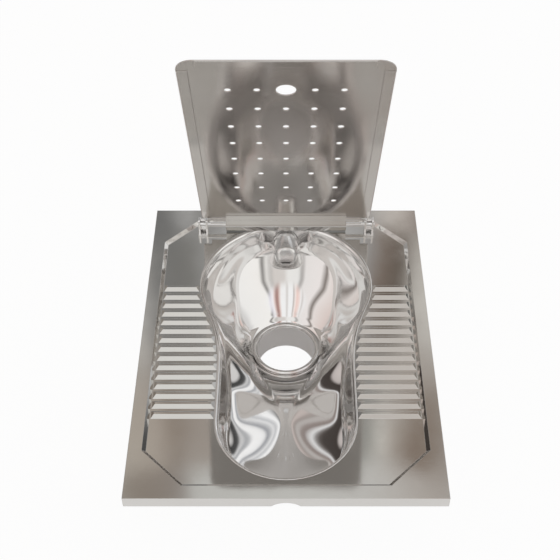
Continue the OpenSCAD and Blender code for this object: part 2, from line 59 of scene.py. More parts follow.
class PanBowlSettings(bpy.types.PropertyGroup):
    basin_r: bpy.props.FloatProperty(
        name="Basin radius", description="Radius of the rear basin at its rim",
        default=129.0 * MM, unit="LENGTH")
    basin_y: bpy.props.FloatProperty(
        name="Basin place", description="Place of the rear basin's centre",
        default=119.0 * MM, unit="LENGTH")
    trough_r: bpy.props.FloatProperty(
        name="Trough half width", description="Half width of the front trough",
        default=95.0 * MM, unit="LENGTH")
    trough_y: bpy.props.FloatProperty(
        name="Trough place", description="Centre of the trough's round front",
        default=-150.0 * MM, unit="LENGTH")
    waist_y: bpy.props.FloatProperty(
        name="Waist place", description="Where the straight sides end",
        default=-50.0 * MM, unit="LENGTH")
    roll_l: bpy.props.FloatProperty(
        name="Roll length", description="Where the floor rolls to the outlet",
        default=95.0 * MM, unit="LENGTH")
    fan_l: bpy.props.FloatProperty(
        name="Fan length", description="Where the round floor widens",
        default=185.0 * MM, unit="LENGTH")
    rim_roll: bpy.props.FloatProperty(
        name="Rim roll", description="Radius of the rolled rim",
        default=5.5 * MM, unit="LENGTH")
    floor_z: bpy.props.FloatProperty(
        name="Deck floor", description="Height of the recessed deck",
        default=13.0 * MM, unit="LENGTH")
    trough_z: bpy.props.FloatProperty(
        name="Trough floor", description="Height of the trough's floor",
        default=-60.0 * MM, unit="LENGTH")
    seat_z: bpy.props.FloatProperty(
        name="Outlet seat", description="Height of the lip ring's seat",
        default=-106.0 * MM, unit="LENGTH")
    outlet_y: bpy.props.FloatProperty(
        name="Outlet place", description="Place of the outlet's centre",
        default=84.0 * MM, unit="LENGTH")
    lip_r: bpy.props.FloatProperty(
        name="Lip radius", description="Radius of the lip ring",
        default=55.0 * MM, unit="LENGTH")
    pipe_r: bpy.props.FloatProperty(
        name="Pipe radius", description="Outer radius of the outlet pipe",
        default=47.8 * MM, unit="LENGTH")
    sheet: bpy.props.FloatProperty(
        name="Sheet", description="Thickness of the bowl's sheet",
        default=1.2 * MM, unit="LENGTH")
    bead_r: bpy.props.FloatProperty(
        name="Weld bead", description="Radius of the weld bead at the rim",
        default=0.8 * MM, unit="LENGTH")


class PanNozzleSettings(bpy.types.PropertyGroup):
    rear_r: bpy.props.FloatProperty(
        name="Rear radius", description="Radius of the nozzle at its ring",
        default=20.0 * MM, unit="LENGTH")
    front_r: bpy.props.FloatProperty(
        name="Front radius", description="Radius of the nozzle at its tip",
        default=19.0 * MM, unit="LENGTH")
    ring_end: bpy.props.FloatProperty(
        name="Ring end", description="Rear end to the front of the ring",
        default=12.0 * MM, unit="LENGTH")
    tip_l: bpy.props.FloatProperty(
        name="Tip length", description="Length of the rounded tip",
        default=12.0 * MM, unit="LENGTH")
    tip_w: bpy.props.FloatProperty(
        name="Tip half width", description="Half width of the tip's lip",
        default=9.0 * MM, unit="LENGTH")
    lip_z: bpy.props.FloatProperty(
        name="Lip drop", description="Axis of the nozzle to its lip",
        default=7.0 * MM, unit="LENGTH")
    height: bpy.props.FloatProperty(
        name="Height", description="Height of the nozzle's axis",
        default=-18.0 * MM, unit="LENGTH")
    slit_w: bpy.props.FloatProperty(
        name="Slit width", description="Width of the slit",
        default=15.0 * MM, unit="LENGTH")


class PanCoverSettings(bpy.types.PropertyGroup):
    open_angle: bpy.props.FloatProperty(
        name="Open angle", description="Angle above the closed position",
        default=math.radians(65.4), subtype="ANGLE")
    hinge_y: bpy.props.FloatProperty(
        name="Hinge place", description="Place of the hinge rod",
        default=239.8 * MM, unit="LENGTH")
    hinge_z: bpy.props.FloatProperty(
        name="Hinge height", description="Height of the hinge rod",
        default=26.0 * MM, unit="LENGTH")
    face_w: bpy.props.FloatProperty(
        name="Face offset", description="Rod axis to the cover's inner face",
        default=4.75 * MM, unit="LENGTH")
    hole_r: bpy.props.FloatProperty(
        name="Hole radius", description="Radius of the drain holes",
        default=4.3 * MM, unit="LENGTH")
    row_pitch: bpy.props.FloatProperty(
        name="Row pitch", description="Distance from row to row",
        default=48.3 * MM, unit="LENGTH")
    col_pitch: bpy.props.FloatProperty(
        name="Column pitch", description="Distance from column to column",
        default=37.2 * MM, unit="LENGTH")
    hole_first: bpy.props.FloatProperty(
        name="First row", description="Hinge to the nearest row of holes",
        default=83.3 * MM, unit="LENGTH")
    rows: bpy.props.IntProperty(
        name="Rows", description="Rows of drain holes", default=8, min=1)
    columns: bpy.props.IntProperty(
        name="Columns", description="Columns of holes", default=5, min=1)
    finger_r: bpy.props.FloatProperty(
        name="Finger hole", description="Radius of the finger hole",
        default=13.0 * MM, unit="LENGTH")
    lip_r: bpy.props.FloatProperty(
        name="Lip", description="Half thickness of a hole's pressed lip",
        default=0.45 * MM, unit="LENGTH")


class PanFinishSettings(bpy.types.PropertyGroup):
    satin: bpy.props.FloatVectorProperty(
        name="Deck steel", description="Colour of the rolled sheet",
        default=(0.69, 0.68, 0.66), size=3, subtype="COLOR")
    cover: bpy.props.FloatVectorProperty(
        name="Cover steel", description="Colour of the cover sheet",
        default=(0.60, 0.575, 0.55), size=3, subtype="COLOR")
    mirror: bpy.props.FloatVectorProperty(
        name="Bowl steel", description="Colour of the polished sheet",
        default=(0.87, 0.865, 0.86), size=3, subtype="COLOR")
    matt: bpy.props.FloatVectorProperty(
        name="Hidden steel", description="Colour of the unpolished strip",
        default=(0.45, 0.44, 0.43), size=3, subtype="COLOR")


class PanStageSettings(bpy.types.PropertyGroup):
    floor_z: bpy.props.FloatProperty(
        name="Floor", description="Height of the studio floor",
        default=-152.0 * MM, unit="LENGTH")
    bright_y: bpy.props.FloatProperty(
        name="Bright floor", description="The floor is bright up to here",
        default=-300.0 * MM, unit="LENGTH")
    floor_color: bpy.props.FloatVectorProperty(
        name="Floor colour", description="Colour of the studio floor",
        default=(0.95, 0.95, 0.95), size=3, subtype="COLOR")


# Panels on the left of the room: degrees from the back, and a colour
WALL_PANELS = (
    (-180, (0.36, 0.35, 0.34)), (-152, (0.42, 0.41, 0.40)),
    (-147, (0.2, 0.18, 0.17)), (-138, (0.88, 0.85, 0.83)),
    (-112, (0.92, 0.87, 0.85)), (-104, (0.24, 0.21, 0.19)),
    (-98, (0.88, 0.82, 0.79)), (-76, (0.78, 0.67, 0.63)),
    (-66, (0.60, 0.55, 0.53)), (-61, (0.55, 0.50, 0.48)),
    (-57, (0.06, 0.05, 0.045)), (-46, (0.07, 0.06, 0.055)),
    (-44, (0.15, 0.13, 0.12)),
    (-42, (0.85, 0.85, 0.85)), (-39, (0.2, 0.15, 0.13)),
    (-36, (0.57, 0.54, 0.52)), (-33, (0.33, 0.29, 0.27)),
    (-30, (0.66, 0.58, 0.55)), (-27, (0.28, 0.25, 0.23)),
    (-24, (0.60, 0.55, 0.52)), (-21, (0.43, 0.38, 0.36)),
    (-19, (0.35, 0.32, 0.3)), (-17, (0.62, 0.6, 0.58)),
    (-15, (0.22, 0.22, 0.22)))
# The same on the right
SIDE_PANELS = (
    (-180, (0.85, 0.85, 0.85)), (14, (0.3, 0.3, 0.3)),
    (15.5, (0.1, 0.1, 0.1)), (17, (0.95, 0.95, 0.95)), (21, (1, 1, 1)),
    (22.2, (0.3, 0.3, 0.3)), (23.6, (0.95, 0.95, 0.95)), (26.5, (1, 1, 1)),
    (27.6, (0.15, 0.15, 0.15)), (29, (0.25, 0.25, 0.25)),
    (30.4, (0.95, 0.95, 0.95)), (33, (1, 1, 1)), (34.6, (0.5, 0.51, 0.53)),
    (37, (0.9, 0.9, 0.9)), (39, (0.2, 0.21, 0.24)), (41, (0.95, 0.95, 0.95)),
    (45, (1, 1, 1)), (47, (0.28, 0.29, 0.31)), (50, (0.8, 0.8, 0.8)),
    (53, (0.1, 0.1, 0.1)), (59, (0.05, 0.05, 0.05)),
    (63, (0.68, 0.67, 0.66)), (76, (0.74, 0.73, 0.72)),
    (84, (0.95, 0.94, 0.92)), (125, (1, 0.98, 0.95)),
    (131, (0.22, 0.21, 0.2)), (138, (0.9, 0.88, 0.85)),
    (150, (0.42, 0.41, 0.4)), (180, (0.36, 0.35, 0.34)))
# Four rows behind the cover, the lowest first
REAR_ROW = (
    (-20, (0.22, 0.22, 0.22)), (-7.5, (0.22, 0.22, 0.22)),
    (-7.2, (0.62, 0.62, 0.62)), (-6.7, (0.62, 0.62, 0.62)),
    (-6.4, (0.22, 0.22, 0.22)), (-5.6, (0.2, 0.2, 0.2)),
    (-5.2, (0.4, 0.4, 0.4)), (6, (0.42, 0.42, 0.42)),
    (6.5, (0.72, 0.69, 0.66)), (8.3, (0.96, 0.9, 0.84)),
    (8.6, (0.25, 0.2, 0.18)), (12, (0.2, 0.16, 0.14)), (20, (0.3, 0.3, 0.3)))
BACK_ROW = (
    (-20, (0.55, 0.55, 0.55)), (-11.2, (0.62, 0.61, 0.59)),
    (-10.4, (0.3, 0.3, 0.3)), (-9.8, (0.235, 0.235, 0.235)),
    (-6, (0.25, 0.245, 0.23)), (-5.4, (0.5, 0.5, 0.5)), (-3, (0.6, 0.6, 0.6)),
    (0, (0.65, 0.65, 0.65)), (4, (0.6, 0.6, 0.6)), (5.8, (0.45, 0.45, 0.45)),
    (6.3, (0.4, 0.35, 0.32)), (6.6, (0.13, 0.1, 0.09)),
    (7, (0.24, 0.19, 0.16)), (7.25, (0.3, 0.24, 0.2)),
    (7.5, (0.15, 0.125, 0.105)), (8.7, (0.13, 0.105, 0.085)),
    (9, (0.38, 0.34, 0.31)), (9.6, (0.7, 0.67, 0.63)),
    (12, (0.72, 0.7, 0.67)), (20, (0.5, 0.5, 0.5)))
HIGH_ROW = (
    (-20, (0.55, 0.5, 0.45)), (-13, (0.54, 0.49, 0.43)),
    (-10.8, (0.5, 0.44, 0.39)), (-10.4, (0.33, 0.275, 0.23)),
    (-8.9, (0.31, 0.26, 0.22)), (-8.4, (0.42, 0.37, 0.33)),
    (-6, (0.46, 0.41, 0.37)), (-4, (0.55, 0.55, 0.55)), (3, (0.5, 0.5, 0.5)),
    (5.6, (0.35, 0.35, 0.35)), (7.3, (0.36, 0.36, 0.33)),
    (7.6, (0.8, 0.78, 0.74)), (9.7, (0.78, 0.75, 0.7)),
    (9.9, (0.28, 0.22, 0.18)), (12.4, (0.25, 0.19, 0.15)),
    (13.2, (0.4, 0.35, 0.31)), (20, (0.4, 0.4, 0.4)))
FRONT_ROW = (
    (-20, (0.36, 0.33, 0.28)), (-12, (0.33, 0.285, 0.25)),
    (-9.4, (0.37, 0.34, 0.32)), (-8.6, (0.66, 0.66, 0.64)),
    (-2, (0.7, 0.7, 0.68)), (8, (0.73, 0.725, 0.71)),
    (12, (0.64, 0.61, 0.58)), (14.5, (0.5, 0.45, 0.41)),
    (20, (0.4, 0.4, 0.4)))
# Lamp strips of the ceiling, across the pan
CEILING_STRIPS = (
    (-180, (0.85, 0.85, 0.85)), (-100, (0.9, 0.9, 0.9)),
    (-90, (0.55, 0.45, 0.42)), (-80, (0.92, 0.92, 0.92)),
    (-66, (0.97, 0.97, 0.97)), (-60, (0.66, 0.62, 0.6)), (-54, (1, 1, 1)),
    (-50, (0.97, 0.82, 0.78)), (-40, (0.95, 0.7, 0.64)),
    (-34, (1, 0.92, 0.88)), (-28, (0.55, 0.5, 0.48)), (-24, (1, 1, 1)),
    (-10, (1, 1, 1)), (-4, (0.72, 0.69, 0.67)), (4, (1, 1, 1)),
    (18, (1, 1, 1)), (24, (0.85, 0.7, 0.66)), (30, (0.48, 0.29, 0.26)),
    (36, (0.42, 0.27, 0.25)), (42, (0.82, 0.64, 0.6)), (48, (1, 0.97, 1)),
    (60, (0.92, 0.9, 0.98)), (66, (1, 1, 1)), (90, (0.97, 0.97, 0.97)),
    (100, (0.6, 0.35, 0.32)), (115, (0.9, 0.8, 0.78)),
    (180, (0.85, 0.85, 0.85)))


# The rows: sine of the height where each fades in and is full
ROWS = ((0.50, 0.60, REAR_ROW), (0.672, 0.675, BACK_ROW),
        (0.73, 0.79, HIGH_ROW), (0.815, 0.818, FRONT_ROW))
# The same for the ceiling, the horizon and the bright room ahead
CEILING_RISE = (0.86, 0.93)
HORIZON = (-0.05, 0.12)
AHEAD_RISE = (0.45, 0.62)
# Degrees from the back where the bright room ahead begins, and the rows end
AHEAD_TURN = (140, 155)
ROWS_TURN = (14, 17)
# Colours of the room ahead on the left and on the right, and of the horizon
AHEAD_LEFT, AHEAD_RIGHT = (0.92, 0.91, 0.89), (0.74, 0.70, 0.67)
HORIZON_COLOR = (0.78, 0.78, 0.78)
# How white the floor is to the camera, and in the apron's reflection
FLOOR_SEEN, FLOOR_SHOWN = 0.95, 0.7

# The camera, solved from the deck's corners: pixels, radians, metres
PICTURE_PX, FOCAL_PX, SHIFT_PX = 560.0, 1074.0, (-6.0, 20.0)
PITCH = 0.8080
CAMERA_AT = (0.0, -1.065, 1.212)
SENSOR_MM = 36.0


# ------------------------------------------------------------- node helpers


def link(tree, a, b):
    tree.links.new(a, b)


def value_node(tree, kind, op, first, second=None, third=None):
    """A math node whose inputs are numbers or sockets."""
    node = tree.nodes.new(kind)
    node.operation = op
    for socket, item in zip(node.inputs, (first, second, third)):
        if item is None:
            continue
        if isinstance(item, (int, float, tuple)):
            socket.default_value = item
        else:
            link(tree, item, socket)
    return node.outputs[0]


def calc(tree, op, first, second=None, third=None):
    return value_node(tree, "ShaderNodeMath", op, first, second, third)


def new_group(name, kind, inputs, outputs):
    """A node group with its named sockets, and its two end nodes."""
    tree = bpy.data.node_groups.new(name, kind)
    for side, rows in (("INPUT", inputs), ("OUTPUT", outputs)):
        for label, sort, *default in rows:
            socket = tree.interface.new_socket(
                name=label, in_out=side, socket_type="NodeSocket" + sort)
            if default:
                socket.default_value = default[0]
    return (tree, tree.nodes.new("NodeGroupInput").outputs,
            tree.nodes.new("NodeGroupOutput").inputs)


def add(tree, kind, values=None, **links):
    """A node with its plain values and its linked inputs, by name."""
    node = tree.nodes.new(kind)
    for name, value in (values or {}).items():
        node.inputs[name].default_value = value
    for name, socket in links.items():
        link(tree, socket, node.inputs[name.replace("_", " ")])
    return node


def sheet_surface_group():
    """Waves of pressed sheet, fine rolling grain, soft edges and smudges."""
    name = "sheet_surface"
    if name in bpy.data.node_groups:
        return bpy.data.node_groups[name]
    tree, src, out = new_group(
        name, "ShaderNodeTree",
        (("Wave Size", "Float", 14.0), ("Wave Depth", "Float", 0.0004),
         ("Grain", "Float", 0.1),
         ("Grain Scale", "Vector", (60.0, 2200.0, 2200.0)),
         ("Edge", "Float", 0.0008), ("Rough Low", "Float", 0.1),
         ("Rough High", "Float", 0.2),
         ("Color", "Color", (0.7, 0.7, 0.7, 1)), ("Stain", "Float", 0.15)),
        (("Color", "Color"), ("Roughness", "Float"), ("Normal", "Vector")))
    place = tree.nodes.new("ShaderNodeTexCoord").outputs["Object"]

    waves = add(tree, "ShaderNodeTexNoise", {"Detail": 1.5},
                Vector=place, Scale=src["Wave Size"])
    stretch = value_node(tree, "ShaderNodeVectorMath", "MULTIPLY", place,
                         src["Grain Scale"])
    grain = add(tree, "ShaderNodeTexNoise", {"Scale": 1.0, "Detail": 3.0},
                Vector=stretch)
    edge = add(tree, "ShaderNodeBevel", Radius=src["Edge"])
    edge.samples = 6
    wave_bump = add(tree, "ShaderNodeBump", {"Strength": 1.0},
                    Distance=src["Wave Depth"], Height=waves.outputs["Fac"],
                    Normal=edge.outputs[0])
    grain_bump = add(tree, "ShaderNodeBump", {"Distance": 0.00002},
                     Strength=src["Grain"], Height=grain.outputs["Fac"],
                     Normal=wave_bump.outputs[0])
    link(tree, grain_bump.outputs[0], out["Normal"])

    smudge = add(tree, "ShaderNodeTexNoise",
                 {"Scale": 9.0, "Detail": 5.0, "Roughness": 0.6},
                 Vector=place)
    band = add(tree, "ShaderNodeMapRange",
               {"From Min": 0.35, "From Max": 0.7},
               Value=smudge.outputs["Fac"])
    band.interpolation_type = "SMOOTHSTEP"
    rough = add(tree, "ShaderNodeMapRange", Value=band.outputs[0],
                To_Min=src["Rough Low"], To_Max=src["Rough High"])
    link(tree, rough.outputs[0], out["Roughness"])
    dull = tree.nodes.new("ShaderNodeMix")
    dull.data_type = "RGBA"
    dull.blend_type = "MULTIPLY"
    dull.inputs["B"].default_value = (0.80, 0.76, 0.72, 1)
    link(tree, src["Color"], dull.inputs["A"])
    link(tree, calc(tree, "MULTIPLY", band.outputs[0], src["Stain"]),
         dull.inputs["Factor"])
    link(tree, dull.outputs["Result"], out["Color"])
    return tree


# Each finish: colour setting, roughness, size and depth of the waves, grain,
# then what differs from PLAIN
FINISHES = {
    "rolled_deck": ("satin", (0.05, 0.10), (9.0, 0.0003), 0.2, {}),
    "polished_bowl": ("mirror", (0.04, 0.09), (6.0, 0.0003), 0.12,
                      {"Edge": 0.0, "Late": 0.6}),
    "polished_parts": ("mirror", (0.06, 0.12), (40.0, 0.0003), 0.15, {}),
    "cast_nozzle": ("mirror", (0.20, 0.28), (40.0, 0.0003), 0.3,
                    {"Late": 0.5}),
    "cover_sheet": ("cover", (0.11, 0.17), (9.0, 0.0008), 0.3,
                    {"Grain Scale": (1800.0, 60.0, 60.0)}),
    "mill_strip": ("matt", (0.35, 0.5), (14.0, 0.0004), 0.6, {})}
# Late is added to the roughness from a ray's third bounce on, so that a ray
# caught between two polished walls still finds the room's light
PLAIN = {"Grain Scale": (60.0, 2200.0, 2200.0), "Edge": 0.0008,
         "Stain": 0.15, "Late": 0.0}
THIRD_BOUNCE = 2.5


def finish_of(kind):
    """One steel finish: a plain metal with the shared surface group."""
    if kind in bpy.data.materials:
        return bpy.data.materials[kind]
    color, rough, wave, grain, other = FINISHES[kind]
    values = {**PLAIN, **other}
    late = values.pop("Late")
    values.update({
        "Color": (*getattr(bpy.context.scene.pan_finish, color), 1),
        "Rough Low": rough[0], "Rough High": rough[1],
        "Wave Size": wave[0], "Wave Depth": wave[1], "Grain": grain})
    mat = bpy.data.materials.new(kind)
    mat.use_nodes = True
    tree = mat.node_tree
    steel = tree.nodes["Principled BSDF"]
    steel.inputs["Metallic"].default_value = 1.0
    skin = tree.nodes.new("ShaderNodeGroup")
    skin.node_tree = sheet_surface_group()
    for name, value in values.items():
        skin.inputs[name].default_value = value
    path = tree.nodes.new("ShaderNodeLightPath")
    again = calc(tree, "GREATER_THAN", path.outputs["Ray Depth"],
                 THIRD_BOUNCE)
    link(tree, calc(tree, "MULTIPLY_ADD", again, late,
                    skin.outputs["Roughness"]), steel.inputs["Roughness"])
    link(tree, skin.outputs["Color"], steel.inputs["Base Color"])
    link(tree, skin.outputs["Normal"], steel.inputs["Normal"])
    return mat


def dress(node, kind):
    """Gives a CAD node its finish."""
    mesh = NODES[node].data
    mesh.materials.clear()
    mesh.materials.append(finish_of(kind))


# ---------------------------------------------------------------- the bowl


class Keyhole:
    """The bowl's rim outline and hollow, from the bowl's sizes."""

    # points along the right half of the rim: rear arc, waist, side, front
    REAR, WAIST, SIDE, FRONT = 64, 24, 14, 48
    # points on one ray: from the outlet to the rim, and over the rolled rim
    RINGS, ROLLS = 72, 8
    # basin: shares of its depth where the floor turns into the wall
    FLOOR_LOW, FLOOR_SPAN = 0.05, 0.91
    KNEE, KNEE_SIDE = 0.645, 0.15
    # trough: slope of its floor, roll into the outlet, thinness of the wall
    SLOPE, ROLL_POWER, WALL_POWER = 0.05, 1.6, 18
    # trough: share of the hollow's vee, and its growth towards the rear
    VEE, VEE_MIDDLE, VEE_REAR = 0.25, 0.2, 0.55
    # trough: roundness of the vee's bottom, and its growth at the front
    NOSE, NOSE_FRONT = 0.07, 0.25
    # blend of basin and trough, least and added away from rim and outlet
    SEAM, SEAM_SOFT = 0.5, 44

    def __init__(self, s):
        self.s = s
        drop = s.basin_y - s.waist_y
        self.side_r = ((s.trough_r ** 2 + drop ** 2 - s.basin_r ** 2)
                       / (2 * (s.basin_r - s.trough_r)))
        self.side_x = s.trough_r + self.side_r
        self.side_a = math.asin(drop / (s.basin_r + self.side_r))
        self.rim_z = s.floor_z - s.rim_roll

    def outline(self):
        """Rim points with their outward directions, right half first."""
        s, half = self.s, []
        rear, side, line, front = (self.REAR, self.WAIST, self.SIDE,
                                   self.FRONT)
        for i in range(rear + 1):
            a = math.pi / 2 - (math.pi / 2 + self.side_a) * i / rear
            e = (math.cos(a), math.sin(a))
            half.append((s.basin_r * e[0], s.basin_y + s.basin_r * e[1], *e))
        for i in range(1, side + 1):
            a = math.pi - self.side_a * (1 - i / side)
            e = (math.cos(a), math.sin(a))
            half.append((self.side_x + self.side_r * e[0],
                         s.waist_y + self.side_r * e[1], -e[0], -e[1]))
        for i in range(1, line + 1):
            y = s.waist_y + (s.trough_y - s.waist_y) * i / line
            half.append((s.trough_r, y, 1.0, 0.0))
        for i in range(1, front + 1):
            a = -math.pi / 2 * i / front
            e = (math.cos(a), math.sin(a))
            half.append((s.trough_r * e[0],
                         s.trough_y + s.trough_r * e[1], *e))
        mirror = [(-x, y, -u, v) for x, y, u, v in half[1:-1]]
        return half + mirror[::-1]

    def half_width(self, y):
        """Half the width inside the rim at one place along the bowl."""
        s = self.s
        if y > s.basin_y - s.basin_r * math.sin(self.side_a):
            return math.sqrt(max(0, s.basin_r ** 2 - (y - s.basin_y) ** 2))
        if y > s.waist_y:
            return self.side_x - math.sqrt(
                self.side_r ** 2 - (y - s.waist_y) ** 2)
        if y > s.trough_y:
            return s.trough_r
        return math.sqrt(max(0, s.trough_r ** 2 - (y - s.trough_y) ** 2))

    @staticmethod
    def ease(t):
        t = max(0.0, min(1.0, t))
        return t * t * (3 - 2 * t)

    @staticmethod
    def low(a, b, blend):
        """The lower of two heights, rounded where they cross."""
        h = max(0.0, blend - abs(a - b)) / blend
        return min(a, b) - h * h * blend / 4

    def grown(self, x, y):
        """Share of the way from the lip ring's circle to the basin's."""
        s = self.s
        m, g, v = s.basin_y - s.outlet_y, s.basin_r - s.lip_r, y - s.outlet_y
        a = m * m - g * g
        b = -2 * (v * m + s.lip_r * g)
        c = x * x + v * v - s.lip_r ** 2
        return (-b - math.sqrt(max(0, b * b - 4 * a * c))) / (2 * a)

    def basin(self, x, y):
        """Height of the rear basin: a floor that turns into a wall."""
        s, t = self.s, self.grown(x, y)
        m, v = s.basin_y - s.outlet_y, y - s.outlet_y
        t = min(1.2, max(0, t))
        q = v - m * t
        e = max(0, min(1, (q / max(0.001, math.hypot(x, q)) + 0.3) / 1.3))
        k = self.FLOOR_LOW + self.FLOOR_SPAN * self.ease(e)
        p = self.KNEE + self.KNEE_SIDE * (1 - e)
        wall = 1 - (1 - t) * (1 - p * k) / (1 - k)
        return s.seat_z - (self.rim_z - s.seat_z) * self.low(
            -p * t, -wall, 0.9 * (1 - p))

    def trough(self, x, y):
        """Height of the front trough, which rolls down into the outlet."""
        s = self.s
        back = s.outlet_y - s.lip_r
        fan = max(0, min(1, 1 + (y - s.outlet_y) / s.fan_l))
        flat = s.lip_r * math.sin(fan * math.pi / 2) ** self.ROLL_POWER
        wide = self.half_width(max(y, s.trough_y))
        u = max(0, abs(x) - flat) / (wide - flat)
        turn = self.ease((y - back + 20 * MM) / (s.lip_r + 20 * MM))
        if turn > 0:
            u += turn * (self.grown(x, y) - u)
        out = (u if y > s.trough_y
               else math.hypot(x, y - s.trough_y) / s.trough_r)
        if out >= 1:
            return self.rim_z + 0.06 * (out - 1)
        end = s.outlet_y - math.sqrt(
            s.lip_r ** 2 - min(abs(x), 0.97 * s.lip_r) ** 2)
        k = max(0, min(1, 1 + (y - end) / s.roll_l))
        z = s.trough_z - self.SLOPE * (min(y, end - s.roll_l) - s.trough_y)
        z += (s.seat_z - z) * k ** self.ROLL_POWER
        vee = self.VEE + self.VEE_MIDDLE * self.ease(
            (y - s.trough_y + 50 * MM) / (90 * MM))
        vee += self.VEE_REAR * self.ease(
            (y - s.waist_y + 10 * MM) / (100 * MM))
        nose = self.NOSE + self.NOSE_FRONT * self.ease(
            (s.trough_y + 60 * MM - y) / (110 * MM))
        side = vee * (math.hypot(nose, u) - nose) / (
            math.hypot(nose, 1) - nose)
        wall = max(0, out) ** self.WALL_POWER
        return z + (self.rim_z - z) * (side + (1 - side) * wall)

    def height(self, x, y):
        """The hollow: the lower of basin and trough, with a soft seam."""
        a, b = self.basin(x, y), self.trough(x, y)
        soft = self.ease((self.rim_z - min(a, b)) / (20 * MM))
        soft *= self.ease((min(a, b) - self.s.seat_z) / (45 * MM))
        z = self.low(a, b, (self.SEAM + self.SEAM_SOFT * soft) * MM)
        return max(self.s.seat_z, min(self.rim_z, z))

    def ray(self, rim):
        """Points from the outlet out to the flat deck along one ray."""
        s, (x, y, ex, ey) = self.s, rim
        dx, dy = x, y - s.outlet_y
        far = math.hypot(dx, dy)
        ux, uy = dx / far, dy / far
        edge = s.lip_r + 0.5 * MM
        pts = [(ux * s.pipe_r, s.outlet_y + uy * s.pipe_r, s.seat_z)]
        for j in range(self.RINGS):
            t = j / self.RINGS
            t -= 0.12 * math.sin(2 * math.pi * t)
            r = edge + (far - edge) * t
            px, py = ux * r, s.outlet_y + uy * r
            pts.append((px, py, s.seat_z if j == 0 else self.height(px, py)))
        for j in range(self.ROLLS + 1):
            a = math.pi / 2 * j / self.ROLLS
            d = s.rim_roll * (1 - math.cos(a))
            pts.append((x + ex * d, y + ey * d,
                        self.rim_z + s.rim_roll * math.sin(a)))
        return pts


def mesh_piece(name, verts, faces, kind, body):
    """A smooth visible piece on a body, in a material slot."""
    mesh = bpy.data.meshes.new(name)
    mesh.from_pydata(verts, [], faces)
    mesh.validate()
    mesh.update()
    mesh.polygons.foreach_set("use_smooth", [True] * len(mesh.polygons))
    mesh.materials.append(finish_of(kind))
    piece = bpy.data.objects.new(name, mesh)
    bpy.context.scene.collection.objects.link(piece)
    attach(piece, body)
    return piece


class PAN_OT_bowl(bpy.types.Operator):
    """Makes the polished bowl as one smooth sheet with its rolled rim"""

    bl_idname = "pan.bowl"
    bl_label = "Bowl"

    def execute(self, context):
        s = context.scene.pan_bowl
        shape = Keyhole(s)
        rows = [shape.ray(p) for p in shape.outline()]
        count, m = len(rows), 2 * len(rows[0])
        verts = []
        for i, row in enumerate(rows):
            up, down = rows[i - 1], rows[(i + 1) % count]
            verts += row
            back = []
            for j, p in enumerate(row):
                along = Vector(down[j]) - Vector(up[j])
                across = (Vector(row[min(j + 1, len(row) - 1)])
                          - Vector(row[max(j - 1, 0)]))
                n = along.cross(across).normalized()
                if n.z < 0:
                    n = -n
                back.append(tuple(Vector(p) - n * s.sheet))
            verts += back[::-1]
        faces = []
        for i in range(count):
            a, b = i * m, (i + 1) % count * m
            for j in range(m):
                k = (j + 1) % m
                faces.append((a + j, b + j, b + k, a + k))
        piece = mesh_piece("bowl_skin", verts, faces, "polished_bowl",
                           "pan")
        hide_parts("bowl_basin", "bowl_trough")
        return {"FINISHED"}


